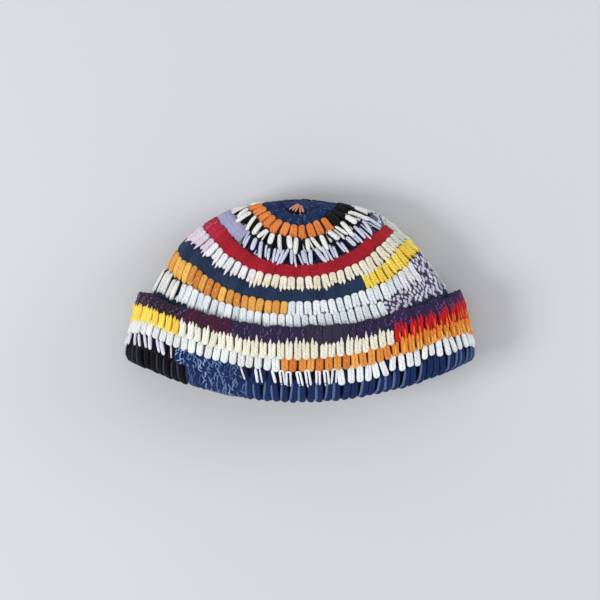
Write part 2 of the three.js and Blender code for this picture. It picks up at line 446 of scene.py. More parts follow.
LOOP = mirrored([
    [0.95, 1.15, -2.9, 0.70],
    [1.08, 1.01, -2.1, 0.92],
    [1.10, 0.84, -1.6, 1.00],
    [LEG_SIDE, 0.60, LEG_HEIGHT, 1.0],
    [LEG_SIDE, 0.36, LEG_HEIGHT, 1.0],
    [1.14, 0.15, -1.05, 1.00],
    [0.96, 0.056, -0.90, 0.98],
    [0.00, 0.040, -0.90, 0.98],
])
CROSSING = np.array([
    [-1.8, 0.72, -2.6, 0.55], [-0.8, 0.64, -1.35, 0.72], [0.0, 0.52, -1.05, 0.74],
    [0.8, 0.42, -1.35, 0.72], [1.8, 0.34, -2.6, 0.55],
])
POST = np.array([
    [0.0, -0.04, -2.1, 0.60], [0.0, 0.07, -1.15, 0.95], [0.0, 0.30, LEG_HEIGHT, 1.0],
    [0.0, 0.62, LEG_HEIGHT, 1.0], [0.0, 0.92, -1.35, 0.98], [0.0, 1.08, -2.2, 0.70],
])
BAR = np.array([
    [0.0, -0.01, -1.05, 0.26], [0.0, 0.02, -0.90, 0.70], [0.0, 0.11, -0.70, 0.96],
    [0.0, 0.34, -0.60, 1.00], [0.0, 0.64, -0.60, 1.00], [0.0, 0.88, -0.66, 0.90],
    [0.0, 0.99, -0.85, 0.64], [0.0, 1.03, -1.00, 0.22],
])
STREAK = np.array([
    [0.0, -0.04, -0.9, 0.50], [0.05, 0.12, 0.0, 0.46], [-0.1, 0.32, 0.1, 0.38],
    [0.1, 0.54, 0.05, 0.26], [0.0, 0.74, -0.4, 0.10],
])
LINK_OVER = np.array([
    [-3.7, 1.02, -2.8, 0.55], [-1.9, 1.06, -1.4, 0.86], [0.6, 1.09, -1.15, 0.92],
    [2.6, 1.05, -1.9, 0.84], [3.7, 1.0, -2.8, 0.55],
])
LINK_UNDER = np.array([
    [-3.6, 1.01, -3.1, 0.50], [-1.9, 1.06, -4.0, 0.86], [0.6, 1.09, -4.3, 0.92],
    [2.6, 1.05, -3.6, 0.84], [3.5, 0.99, -3.1, 0.50],
])


def leg(reach):
    """Half of a loop whose leg ends in a point that reaches over the next round."""
    return [
        [1.25, 1.04 + reach, 0.30, 0.18],
        [1.42, 1.02 + reach * 0.7, 0.35, 0.52],
        [1.42, 0.98, -0.15, 0.84],
        [1.24, 0.84, -0.95, 1.00],
        *LOOP[3:8, :] * [-1, 1, 1, 1],
    ]


# %% [markdown]
# ## Other stitches
#
# Where the yarn splits, a stitch's legs end in points that reach over the next round. Marled yarn
# shows as light bars that lean every way over dark loops. Flecked yarn shows short pieces of a
# thin strand that comes up between the plies. Where the light loops stand open or apart, the
# dark ones show through them. Each kind has a few variants, and the chart's points choose one by
# chance.

# %% Scatter the flecks
SEED = 7
POSTS = (-1.9, 0.0, 1.9)  # the posts of a dense stitch
POST_THICK = 1.16
POST_DROP = -0.3
SHORT_POINTS = 6  # of a fleck, a post, a streak or a link


def dense_height(side):
    """How high the top of a dense stitch is at some distance to the side."""
    next_posts = (POSTS[2] - STITCH_WIDTH, POSTS[0] + STITCH_WIDTH)
    off = min(abs(side - post) for post in (*POSTS, *next_posts))
    radius = YARN_RADIUS * POST_THICK
    return LEG_HEIGHT + POST_DROP + math.sqrt(radius ** 2 - off ** 2)


# Along a fleck: how far from its middle, how deep it dives, and the share of its thickness.
FLECK = ((-1, 1.0, 0.5), (-0.6, 0.35, 0.9), (-0.2, 0.0, 1.0),
         (0.2, 0.0, 1.0), (0.6, 0.35, 0.9), (1, 1.0, 0.5))
FLECK_SIDE = 2.8  # flecks start at most this far from a stitch's middle
FLECK_SINK = 0.25  # a fleck lies this share of its radius in the stitch


def flecks(seed, count, thickness, length, turned=1.2, bent=0.5):
    """Short pieces of a strand that come up between a dense stitch's plies and dive again."""
    draw = np.random.default_rng(SEED + seed)
    made = []
    for k in range(count):
        side, up = draw.uniform(-FLECK_SIDE, FLECK_SIDE), (k + draw.uniform(0.1, 0.9)) / count
        turn, half = draw.uniform(-turned, turned), length * draw.uniform(0.6, 1.3) / 2
        thick, bend = thickness * draw.uniform(0.75, 1.2), draw.uniform(-bent, bent)
        line = []
        for t, dive, share in FLECK:
            x = side + t * half * math.sin(turn) + bend * (1 - t * t)
            height = dense_height(x) - FLECK_SINK * thick * YARN_RADIUS - dive * thick * YARN_RADIUS
            line.append([x, up + t * half * math.cos(turn) / STITCH_HEIGHT, height, thick * share])
        made.append(strand(line, SHORT_POINTS, BACK))
    return made


# %% Make each kind of stitch
LOOP_POINTS, UNDER_LOOP_POINTS, INNER_LOOP_POINTS, ROOTED_POINTS = 13, 12, 11, 15
BAR_POINTS = 8
HIDDEN_POINTS = 5  # of a strand that lies between others


def plain(lean, wide=1.0):
    return [strand(LOOP, LOOP_POINTS, lean=lean, wide=wide),
            strand(CROSSING, HIDDEN_POINTS, BACK, lean=lean)]


def rooted(left, right, lean=0.0):
    """A stitch whose two legs reach over the next round, by shares of a round."""
    left, right = np.array(leg(left)), np.array(leg(right))
    loop = np.vstack([left * [-1, 1, 1, 1], right[-2::-1]])
    return [strand(loop, ROOTED_POINTS, lean=lean),
            strand(CROSSING, HIDDEN_POINTS, BACK, lean=lean)]


def flamed(left, right, *streaks):
    """A rooted stitch under streaks of the second colour. Each is its side, lean and length."""
    loop = rooted(left, right)[0]
    return [loop, *(strand(STREAK, SHORT_POINTS, BACK, side=side, lean=lean, long=long)
                    for side, lean, long in streaks)]


def dense():
    return [strand(POST, SHORT_POINTS, side=side, up=up, height=POST_DROP, thick=POST_THICK)
            for side, up in zip(POSTS, (0.0, 0.015, -0.01))]


def marled(long, *bars):
    """Light bars over a dark loop. Each bar is its side, lean, thickness and place up the round."""
    light = [strand(BAR, BAR_POINTS, long=long, side=side, lean=lean, thick=thick, up=up)
             for side, lean, thick, up in bars]
    return [strand(LOOP, UNDER_LOOP_POINTS, BACK, height=-0.9, wide=1.12), *light]


def over_post(side, depth, **loop):
    """A loop of the first colour that stands over a post of the second."""
    return [strand(LOOP, LOOP_POINTS, **loop),
            strand(POST, HIDDEN_POINTS, BACK, side=side, height=depth)]


# %% Choose the variants of each kind
GROUPS = {
    "plain": [plain(0.0), plain(0.5), plain(-0.5, 1.05)],
    "rooted": [rooted(0.08, 0.20), rooted(0.20, 0.03, 0.4), rooted(0.14, 0.10, -0.4),
               rooted(0.02, 0.24)],
    "spiked": [rooted(0.10, 0.32), rooted(0.36, 0.14, 0.5), rooted(0.20, 0.26, -0.5),
               rooted(0.04, 0.42, 0.3), rooted(0.28, 0.08, -0.2), rooted(0.16, 0.12, 0.8)],
    "flamed": [
        flamed(0.36, 0.64, (-1.1, 0.8, 1.0), (1.6, 0.3, 1.2)),
        flamed(0.70, 0.44, (1.0, -0.6, 1.3)),
        flamed(0.50, 0.58, (-1.6, 0.5, 1.1), (0.9, 1.0, 1.2)),
        flamed(0.62, 0.30, (-0.2, 1.0, 1.4)),
        flamed(0.40, 0.52, (-1.2, -0.4, 1.0)),
    ],
    "glowing": [
        flamed(0.00, 0.18, (-1.1, 0.8, 0.9), (1.6, 0.3, 0.7)),
        flamed(0.20, 0.06, (1.0, -0.6, 1.0)),
        flamed(0.10, 0.12, (-1.6, 0.5, 0.8), (0.9, 1.0, 1.0)),
        flamed(0.14, 0.00, (-0.2, 1.0, 1.1)),
    ],
    "dense": [dense()],
    "speckled": [dense() + flecks(seed, 3 + seed % 3, 0.28, 3.0, 0.9) for seed in range(1, 9)],
    "flecked": [dense() + flecks(seed, 9, 0.29, 3.6, 1.2, 1.1) for seed in range(11, 19)],
    "mottled": [dense() + flecks(seed, 8, 0.68, 3.4, 0.9) for seed in range(21, 27)],
    "marled": [
        marled(1.30, (-0.3, 0.9, 1.10, 0.0)),
        marled(1.05, (0.3, 1.8, 1.22, -0.04)),
        marled(1.35, (-1.3, 0.2, 0.84, 0.0), (1.5, 0.7, 0.64, -0.10)),
        marled(0.95, (0.1, -1.4, 0.98, 0.04), (2.2, 0.8, 0.40, 0.0)),
        marled(1.2, (1.2, 1.6, 0.78, -0.1), (-1.5, 1.0, 0.56, 0.0)),
        marled(1.45, (-0.8, 2.4, 0.90, -0.10)),
        marled(0.85, (-0.2, 0.3, 1.36, 0.05)),
    ],
    "streaked": [
        marled(1.2, (-1.3, 1.4, 0.74, -0.20), (1.5, 2.0, 0.50, 0.10)),
        marled(1.2, (0.9, 0.5, 0.90, -0.20), (-1.8, 1.7, 0.44, 0.0)),
        marled(1.4, (-0.1, 2.6, 0.92, -0.16)),
        marled(1.25, (-1.2, 0.1, 0.62, -0.04), (1.3, -1.2, 0.72, -0.24)),
        marled(1.25, (0.5, -2.2, 0.84, -0.18), (-1.9, 0.4, 0.36, 0.0)),
        marled(1.05, (-1.6, 1.8, 0.54, -0.10), (0.8, 1.0, 0.64, 0.1)),
        marled(0.95, (0.2, 0.8, 1.08, -0.05)),
    ],
    "topped": [
        marled(0.76, (-2.0, 0.4, 0.46, 0.10), (0.1, 0.2, 0.50, 0.05), (2.1, -0.2, 0.44, 0.08)),
        marled(0.80, (-1.2, 0.8, 0.50, 0.06), (1.3, 0.2, 0.54, 0.04)),
    ],
    "barred": [
        marled(0.95, (-0.9, -3.0, 1.00, 0.05)),
        marled(0.85, (0.4, -2.2, 1.15, 0.0)),
        marled(0.9, (0.9, -3.6, 0.70, 0.1)),
        marled(1.0, (-0.8, -2.6, 0.40, 0.0)),
    ],
    "arched": [
        over_post(0.0, -0.7, long=-1, up=1.0, thick=0.52, wide=1.35, height=0.45),
        over_post(1.0, -0.8, long=-1, up=0.98, thick=0.56, wide=1.1, height=0.4, lean=-1.4),
    ],
    "toothed": [
        over_post(3.1, -1.2, wide=0.90, height=0.25, thick=0.94),
        over_post(3.1, -1.2, long=0.9, wide=0.94, height=0.25, lean=-0.9, up=0.1, thick=0.94),
        over_post(-3.1, -1.2, long=0.78, wide=0.84, height=0.25, lean=1.2, up=0.2, thick=0.88),
        over_post(3.1, -1.2, long=1.1, wide=0.80, height=0.2, lean=-1.8, up=-0.06, thick=0.86),
    ],
    # Two of these stitches carry a strand of the second colour down one side, as a painted
    # highlight.
    "stranded": [
        [strand(LOOP, LOOP_POINTS, wide=0.86, thick=0.98),
         strand(BAR, BAR_POINTS, BACK, side=-2.2, lean=0.4, thick=0.66, height=-0.15)],
        [strand(LOOP, LOOP_POINTS, wide=0.84, lean=0.6),
         strand(BAR, BAR_POINTS, BACK, side=-2.0, lean=0.9, thick=0.56, height=0.1)],
        [strand(LOOP, LOOP_POINTS, wide=0.86, lean=-0.7),
         strand(CROSSING, HIDDEN_POINTS, lean=0.4)],
        [strand(LOOP, LOOP_POINTS, wide=0.8, lean=0.2, thick=0.96),
         strand(CROSSING, HIDDEN_POINTS, height=0.2)],
    ],
    "inner": [[strand(LOOP, INNER_LOOP_POINTS)], [strand(LOOP, INNER_LOOP_POINTS, lean=0.5)]],
    "link": [[strand(LINK_OVER, SHORT_POINTS), strand(LINK_UNDER, SHORT_POINTS)]],
}
# How far a stitch may lean by chance, as a turn in radians. The rest take the usual lean.
LEAN = {
    "stranded": 0.09, "marled": 0.16, "streaked": 0.18, "barred": 0.20, "arched": 0.12,
    "toothed": 0.17, "flamed": 0.09, "dense": 0.01, "speckled": 0.02, "flecked": 0.02,
    "mottled": 0.03,
}
USUAL_LEAN = 0.06


# %% Build the stitches as lines
def template(name, strands):
    """The strands of a stitch as lines of points. A loop has more points at its bend."""
    points, edges, thick, second = [], [], [], []
    for table, count, colour in strands:
        along = np.linspace(-1, 1, count)
        if len(table) >= len(LOOP):
            along = (along + along ** 3) / 2
        line = read_rows(table, (along + 1) / 2 * (len(table) - 1))
        edges += [(len(points) + k, len(points) + k + 1) for k in range(count - 1)]
        points += [(x * MM, y * STITCH_HEIGHT * MM, z * MM) for x, y, z, _ in line]
        thick += list(line[:, 3])
        second += [colour] * count
    mesh = bpy.data.meshes.new(name)
    mesh.from_pydata(points, edges, [])
    for title, values in (("thickness", thick), ("second", second)):
        attribute = mesh.attributes.new(title, "FLOAT", "POINT")
        attribute.data.foreach_set("value", np.array(values, np.float32))
    return bpy.data.objects.new(name, mesh)


kinds = bpy.data.collections.new("stitch_kinds")
VARIANTS = {}
for group, variants in GROUPS.items():
    first = len(kinds.objects)
    for strands in variants:
        kinds.objects.link(template(f"kind_{len(kinds.objects):02d}_{group}", strands))
    VARIANTS[group] = range(first, len(kinds.objects))


# %% [markdown]
# ## The tree that lays stitches on a face
#
# The tree starts from one point for each stitch, in swatch space, and puts a stitch of the right
# kind on each, a little uneven, as handwork is. Then it looks up where each point of the yarn's
# line lies on the guide, and sweeps the yarn's round section along the line last. So the yarn
# keeps its real thickness wherever the fabric is stretched.

# %% Helpers for trees
def add(tree, kind, inputs=None, **settings):
    """A node with its settings. Inputs are numbers, or outputs of other nodes."""
    made = tree.nodes.new(kind)
    for name, value in settings.items():
        setattr(made, name, value)
    for key, value in (inputs or {}).items():
        if isinstance(value, bpy.types.NodeSocket):
            tree.links.new(value, made.inputs[key])
        else:
            made.inputs[key].default_value = value
    return made


def result(tree, kind, inputs=None, **settings):
    """The first output of a new node."""
    return add(tree, kind, inputs, **settings).outputs[0]


def calc(tree, operation, *values):
    return result(tree, "ShaderNodeMath", dict(enumerate(values)), operation=operation)


def vector_calc(tree, operation, *values):
    return result(tree, "ShaderNodeVectorMath", dict(enumerate(values)), operation=operation)


def scaled(tree, value, factor):
    return result(tree, "ShaderNodeVectorMath", {0: value, "Scale": factor}, operation="SCALE")


def vector(tree, *values):
    return result(tree, "ShaderNodeCombineXYZ", dict(enumerate(values)))


def split(tree, value):
    return add(tree, "ShaderNodeSeparateXYZ", {0: value}).outputs[:]


def noise(tree, place, scale, detail):
    inputs = {"Vector": place, "Scale": scale, "Detail": detail}
    return add(tree, "ShaderNodeTexNoise", inputs).outputs


def named(tree, name, kind):
    return result(tree, "GeometryNodeInputNamedAttribute", {"Name": name}, data_type=kind)


def store(tree, geometry, name, kind, value):
    inputs = {"Geometry": geometry, "Name": name, "Value": value}
    return result(tree, "GeometryNodeStoreNamedAttribute", inputs, data_type=kind, domain="POINT")


def moved(tree, geometry, **to):
    return result(tree, "GeometryNodeSetPosition", {"Geometry": geometry, **to})


# %% Build the tree
TABLE_SKIN = 0.05 * MM
GUIDE_MARGIN = 0.0005  # a look-up must not fall off the guide's rim
TREE_INPUTS = {
    "Geometry": ["Geometry"], "Object": ["Face"], "Collection": ["Stitch Kinds"],
    "Float": ["Stitch Height", "Round Width", "Rows Tall", "First Row", "Last Row", "Yarn Radius",
              "Unevenness", "Wander", "Row Waves", "Swelling"],
    "Int": ["Sides", "Seed"], "Material": ["Yarn"],
}
WAVES = 3.0  # the waves are read off a circle of this radius, so they close on themselves
WAVES_UP = 0.4  # how far the reading moves up for each row


def stitch_tree():
    tree = bpy.data.node_groups.new("stitches_on_a_face", "GeometryNodeTree")
    tree.is_modifier = True
    for kind, names in TREE_INPUTS.items():
        for name in names:
            tree.interface.new_socket(name, in_out="INPUT", socket_type="NodeSocket" + kind)
    tree.interface.new_socket("Geometry", in_out="OUTPUT", socket_type="NodeSocketGeometry")
    given = add(tree, "NodeGroupInput").outputs
    here = result(tree, "GeometryNodeInputPosition")

    def random_vector(seed_step):
        seed = calc(tree, "ADD", given["Seed"], seed_step)
        inputs = {0: (-1, -1, -1), 1: (1, 1, 1), "Seed": seed}
        return result(tree, "FunctionNodeRandomValue", inputs, data_type="FLOAT_VECTOR")

    # Stitches in swatch space
    uneven = scaled(tree, random_vector(1), given["Unevenness"])
    uneven = vector_calc(tree, "ADD", uneven, (1, 1, 1))
    size = vector_calc(tree, "MULTIPLY", uneven, vector(tree, 1, given["Rows Tall"], 1))
    lean = calc(tree, "MULTIPLY", split(tree, random_vector(2))[0], named(tree, "lean", "FLOAT"))
    shift = scaled(tree, random_vector(3), given["Wander"])
    kinds_in = add(tree, "GeometryNodeCollectionInfo", {
        "Collection": given["Stitch Kinds"], "Separate Children": True, "Reset Children": True})
    laid = add(tree, "GeometryNodeInstanceOnPoints", {
        "Points": moved(tree, given["Geometry"], Offset=shift), "Instance": kinds_in.outputs[0],
        "Pick Instance": True, "Instance Index": named(tree, "kind", "INT"),
        "Rotation": vector(tree, 0, 0, lean), "Scale": size,
    })
    lines = result(tree, "GeometryNodeRealizeInstances", {"Geometry": laid.outputs[0]})
    colour = add(tree, "ShaderNodeMix", {
        0: named(tree, "second", "FLOAT"), 6: named(tree, "front_yarn", "FLOAT_COLOR"),
        7: named(tree, "back_yarn", "FLOAT_COLOR")}, data_type="RGBA")
    lines = store(tree, lines, "yarn_colour", "FLOAT_COLOR", colour.outputs[2])

    # Each point's place on the face
    across, up, height = split(tree, here)
    share = calc(tree, "FRACT", calc(tree, "DIVIDE", across, given["Round Width"]))
    row = calc(tree, "DIVIDE", up, given["Stitch Height"])
    turn = calc(tree, "MULTIPLY", share, 2 * math.pi)
    ring = [calc(tree, "MULTIPLY", calc(tree, way, turn), WAVES) for way in ("COSINE", "SINE")]
    place = vector(tree, *ring, calc(tree, "MULTIPLY", row, WAVES_UP))
    waves = noise(tree, place, 1.0, 1)["Color"]
    waves = split(tree, vector_calc(tree, "SUBTRACT", waves, (0.5, 0.5, 0.5)))
    row = calc(tree, "ADD", row, calc(tree, "MULTIPLY", waves[0], given["Row Waves"]))
    height = calc(tree, "ADD", height, calc(tree, "MULTIPLY", waves[1], given["Swelling"]))
    rows = calc(tree, "SUBTRACT", given["Last Row"], given["First Row"])
    row_share = calc(tree, "DIVIDE", calc(tree, "SUBTRACT", row, given["First Row"]), rows)
    row_share = calc(tree, "MAXIMUM", row_share, GUIDE_MARGIN)
    flat = vector(tree, share, calc(tree, "MINIMUM", row_share, 1 - GUIDE_MARGIN))
    guide = add(tree, "GeometryNodeObjectInfo", {"Object": given["Face"]}).outputs["Geometry"]

    def on_guide(value):
        inputs = {"Mesh": guide, "Value": value, "Sample UV": flat,
                  "UV Map": named(tree, "swatch", "FLOAT_VECTOR")}
        return result(tree, "GeometryNodeSampleUVSurface", inputs, data_type="FLOAT_VECTOR")

    out = scaled(tree, on_guide(named(tree, "outward", "FLOAT_VECTOR")), height)
    lines = moved(tree, lines, Position=vector_calc(tree, "ADD", on_guide(here), out))

    # Yarn round the lines
    curve = result(tree, "GeometryNodeMeshToCurve", {"Mesh": lines})
    along = add(tree, "GeometryNodeSplineParameter").outputs["Length"]
    curve = store(tree, curve, "along", "FLOAT", along)
    circle = result(tree, "GeometryNodeCurvePrimitiveCircle", {"Resolution": given["Sides"],
                                                               "Radius": 1.0})
    section = store(tree, circle, "around", "FLOAT_VECTOR", here)
    radius = calc(tree, "MULTIPLY", named(tree, "thickness", "FLOAT"), given["Yarn Radius"])
    yarn = result(tree, "GeometryNodeCurveToMesh", {
        "Curve": curve, "Profile Curve": section, "Scale": radius, "Fill Caps": True})

    # The table presses on whatever would go below it
    x, y, z = split(tree, here)
    yarn = moved(tree, yarn, Position=vector(tree, x, y, calc(tree, "MAXIMUM", z, TABLE_SKIN)))
    yarn = result(tree, "GeometryNodeSetShadeSmooth", {"Geometry": yarn})
    yarn = result(tree, "GeometryNodeRealizeInstances", {"Geometry": yarn})
    yarn = result(tree, "GeometryNodeSetMaterial", {"Geometry": yarn, "Material": given["Yarn"]})
    add(tree, "NodeGroupOutput", {0: yarn})
    return tree


stitches_on_a_face = stitch_tree()
print("tree", stitches_on_a_face.name, "has", len(stitches_on_a_face.nodes), "nodes")

# %% [markdown]
# ## The yarn's material
#
# Thick craft yarn is a few plies twisted together, with short fibres standing up all over. Its
# colour comes from the stitch's own attribute. Two more attributes, the distance along the yarn
# and the direction round it, make the twist, so that it follows every bend. The colour is darker
# in the grooves between the plies, which is painted shade. Light catches the fibres, which is the
# sheen.

# %% Make the yarn
PLIES = 3
TWIST_LENGTH = 9.0 * MM  # one full turn of the plies
FIBRES_ACROSS = 9
FIBRE_LENGTH = 2.5 * MM
CLOUD_SCALE = 150  # clouds for each metre
# How much each pattern brightens the yarn's colour where it is 1, and its brightness where it is 0.
# The plies' pattern is painted shade in their grooves. The fibres and clouds are the yarn's own
# uneven tone.
PLY_PAINTED_SHADE, FIBRE_LIGHT, CLOUD_LIGHT = (0.22, 0.82), (0.80, 0.62), (0.26, 0.88)
FIBRE_RELIEF = 1.8  # how high the fibres are, where the plies are 1
YARN_FINISH = {"Roughness": 0.92, "Specular IOR Level": 0.18, "Sheen Weight": 0.07,
               "Sheen Roughness": 0.4}


def attribute(tree, name, output):
    return add(tree, "ShaderNodeAttribute", attribute_name=name).outputs[output]


def twist(tree):
    """The direction round the yarn, the distance along it, and how far its plies have turned."""
    along = attribute(tree, "along", "Fac")
    turn = calc(tree, "MULTIPLY", along, 2 * math.pi / TWIST_LENGTH)
    return attribute(tree, "around", "Vector"), along, turn


def ply_ridges(tree):
    """1 on the crown of each ply and 0 in the groove between two."""
    around, _, turn = twist(tree)
    x, y, _ = split(tree, around)
    turn = calc(tree, "ADD", calc(tree, "ARCTAN2", y, x), turn)
    return calc(tree, "ABSOLUTE", calc(tree, "COSINE", calc(tree, "MULTIPLY", turn, PLIES / 2)))


def fibres(tree):
    """Fine streaks that turn with the plies. The yarn's own section is turned as it goes along."""
    around, along, turn = twist(tree)
    turned = result(tree, "ShaderNodeVectorRotate", {"Vector": around, "Angle": turn},
                    rotation_type="Z_AXIS")
    across = [calc(tree, "MULTIPLY", way, FIBRES_ACROSS) for way in split(tree, turned)[:2]]
    place = vector(tree, *across, calc(tree, "MULTIPLY", along, 1 / FIBRE_LENGTH))
    return noise(tree, place, 1.0, 3)["Fac"]


def new_material(name, finish):
    """A material and its shader, with the finish set on the shader's own sockets."""
    material = bpy.data.materials.new(name)
    material.use_nodes = True
    shader = material.node_tree.nodes["Principled BSDF"]
    for socket, value in finish.items():
        shader.inputs[socket].default_value = value
    return material, shader


def yarn_material(name):
    material, shader = new_material(name, YARN_FINISH)
    tree = material.node_tree
    ridges, streaks = ply_ridges(tree), fibres(tree)
    place = add(tree, "ShaderNodeTexCoord").outputs["Object"]
    clouds = noise(tree, place, CLOUD_SCALE, 2)["Fac"]
    # Painted shade: the colour darkens in the grooves between the plies.
    light = calc(tree, "MULTIPLY_ADD", ridges, *PLY_PAINTED_SHADE)
    for pattern, gain in ((streaks, FIBRE_LIGHT), (clouds, CLOUD_LIGHT)):
        light = calc(tree, "MULTIPLY", light, calc(tree, "MULTIPLY_ADD", pattern, *gain))
    colour = scaled(tree, attribute(tree, "yarn_colour", "Color"), light)
    tree.links.new(colour, shader.inputs["Base Color"])
    height = calc(tree, "MULTIPLY_ADD", streaks, FIBRE_RELIEF, ridges)
    bump = result(tree, "ShaderNodeBump", {"Strength": 0.8, "Distance": 0.3 * MM, "Height": height})
    tree.links.new(bump, shader.inputs["Normal"])
    return material


yarn = yarn_material("crochet_yarn")

# %% [markdown]
# ## Points for the stitches
#
# A point stands for each stitch, in swatch space, and carries its two colours, its kind and how
# far it may lean. Every other round is set off by half a stitch, so that its stitches meet the
# gaps of the round before. The hand never pulls two stitches alike, and yarn is never dyed quite
# evenly, so each one's kind and shade vary a little, from a fixed seed.

# %% Place a point for each stitch
SHADE_SPREAD = 0.06
BLENDED = ("plain", "dense", "rooted", "spiked")
SHOWS_GROUND = ("marled", "streaked", "topped", "barred", "arched", "toothed")
FLECK_FADE = {"speckled": 0.9, "flecked": 0.85, "mottled": 0.4}  # most that flecks may fade
POINT_VALUES = {"kind": "INT", "lean": "FLOAT", "front_yarn": "FLOAT_COLOR",
                "back_yarn": "FLOAT_COLOR"}


def phase_of(row):
    """Rounds are set off from each other by half a stitch."""
    return 0.25 + 0.5 * (round(max(row, 0)) % 2)


def sides_of(face, row):
    """A ring of a face, and the shares of the way round where it reaches its right and left."""
    rows, grid, _ = FACES[face]
    ring = grid[np.argmin(np.abs(rows - row))]
    columns = len(ring) - 1
    return ring, np.argmax(ring[:, 0]) / columns, np.argmin(ring[:, 0]) / columns


def stitch_points(name, face, row, tall, line, simple):
    """One vertex for each stitch of a round, with all that the tree asks of it."""
    draw = np.random.default_rng(SEED + sum(map(ord, name)))
    count = line[0]
    ring, right, left = sides_of(face, row + tall / 2)
    columns = {key: [] for key in ("place", *POINT_VALUES)}
    for k in range(count):
        share = (k + phase_of(row)) / count
        x = ring[int(share % 1 * (len(ring) - 1)), 0]
        first, second, how = yarn_at(line, share % 1, right, left, x)
        first, second = linear(first), linear(second)
        blend = draw.random()
        if how in BLENDED:
            first, second = first + (second - first) * blend, second + (first - second) * blend
        elif how in FLECK_FADE:
            second = second + (first - second) * blend * FLECK_FADE[how]
        elif simple == "inner" and how in SHOWS_GROUND:
            first = second if blend > 0.5 else first
        how = simple or how
        light = 1 + SHADE_SPREAD * draw.uniform(-1, 1)
        columns["place"].append((share * count * STITCH_WIDTH * MM, row * STITCH_HEIGHT * MM, 0))
        columns["front_yarn"].append((*first * light, 1))
        columns["back_yarn"].append((*second * light, 1))
        columns["kind"].append(draw.choice(VARIANTS[how]))
        columns["lean"].append(LEAN.get(how, USUAL_LEAN))
    made = mesh_object(name, columns["place"], [])
    for title, kind_of in POINT_VALUES.items():
        field = "color" if kind_of == "FLOAT_COLOR" else "value"
        attribute = made.data.attributes.new(title, kind_of, "POINT")
        attribute.data.foreach_set(field, np.ravel(columns[title]))
    return made


# %% Lay the stitches of a round
YARN_SIDES = 6
UNEVENNESS = 0.09  # of a stitch's size
WANDER = 0.35 * MM  # of its place
ROW_WAVES = 0.45  # how far the waves carry a row, in rounds
SWELLING = 2.0 * MM  # how far they lift it
SPARE_ATTRIBUTES = {"thickness", "second", *POINT_VALUES}


def stands_for(piece, node):
    """The piece rides on the cap's one body and stands for a node, which is hidden."""
    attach(piece, "root")
    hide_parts(node)


def crochet(name, face, node, row, tall, line, simple=None):
    """A piece of one crocheted round, as a plain mesh that stands for a node of the frame."""
    piece = stitch_points(name, face, row, tall, line, simple)
    laying = piece.modifiers.new("stitches", "NODES")
    laying.node_group = stitches_on_a_face
    rows = FACES[face][0]
    values = {
        "Face": guides[face], "Stitch Kinds": kinds, "Stitch Height": STITCH_HEIGHT * MM,
        "First Row": float(rows[0]), "Last Row": float(rows[-1]), "Yarn Radius": YARN_RADIUS * MM,
        "Round Width": line[0] * STITCH_WIDTH * MM, "Rows Tall": tall, "Sides": YARN_SIDES,
        "Unevenness": UNEVENNESS, "Wander": WANDER, "Row Waves": ROW_WAVES,
        "Swelling": SWELLING, "Seed": SEED + int(row * 10), "Yarn": yarn,
    }
    for socket in stitches_on_a_face.interface.items_tree:
        if socket.name in values:
            laying[socket.identifier] = values[socket.name]
    evaluated = piece.evaluated_get(bpy.context.evaluated_depsgraph_get())
    mesh = bpy.data.meshes.new_from_object(evaluated)
    piece.modifiers.clear()
    piece.data = mesh
    mesh.name = name
    for title in SPARE_ATTRIBUTES & set(mesh.attributes.keys()):
        mesh.attributes.remove(mesh.attributes[title])
    stands_for(piece, node)
    triangles = sum(len(face.vertices) - 2 for face in mesh.polygons)
    print(f"{name}: {line[0]} stitches, {triangles} triangles")


# %% Crochet the crown
HOOK_SHIFT = 0.14  # the bends lie this far below their round's upper edge
for number, line in enumerate(CROWN_CHART[:VISIBLE_ROUNDS], 1):
    start = number - 1 + (HOOK_SHIFT if number > 1 else 0)
    crochet(f"crown_round_{number:02d}", "crown", "crown", start, number - start, line)

# %% Crochet the cuff
FOLD_START = -0.6
for number, line in enumerate(CUFF_CHART, 1):
    start = FOLD_START if number == 1 else number - 1
    crochet(f"cuff_round_{number}", "cuff", "cuff", start, number - start, line)
crochet("cuff_edge", "cuff", "cuff", 4, 1.0, CUFF_CHART[-1], "link")

# %% [markdown]
# ## The inner side
#
# The mouth is open, so the inner side of the crown shows, as rows of the same stitches seen from
# behind. They lie on the inner face, in the same colours, and they are simpler because less of
# them is seen. The hem inside the fold joins them to the cuff. The cuff's back shows at its edge.

# %% Crochet the inner side
for number, line in enumerate(CROWN_CHART, 1):
    crochet(f"crown_lining_{number:02d}", "inside", "crown", number - 1, 1.0, line, "inner")
crochet("fold_inside", "cuff", "cuff", -NOSE_ROWS, NOSE_ROWS + FOLD_START, HEM, "inner")
for number in (4, 5):
    line = CUFF_CHART[number - 1]
    crochet(f"cuff_back_{number}", "cuff_back", "cuff", number - 1, 1.0, line, "inner")

# %% [markdown]
# ## What is seen between the stitches
#
# Between two real stitches the eye meets more yarn, in shade. A thin closed shell lies in the
# middle of the fabric for this. Its colour is painted shade, a dark shade of the colours round
# it. Under the dense stitches it is darkened less, because they leave no gap.

# %% Build the core in painted shade
# How far the core's colour is darkened, as painted shade: a little under dense stitches, most under
# open ones.
CORE_PAINTED_SHADE = {"dense": 0.7, "speckled": 0.7, "flecked": 0.7, "mottled": 0.7}
OPEN_PAINTED_SHADE = 0.10
CORE_TOP, CORE_BOTTOM = -2.55, -2.95  # heights over the face
CORE_STEP = 3  # every third row and column of the face


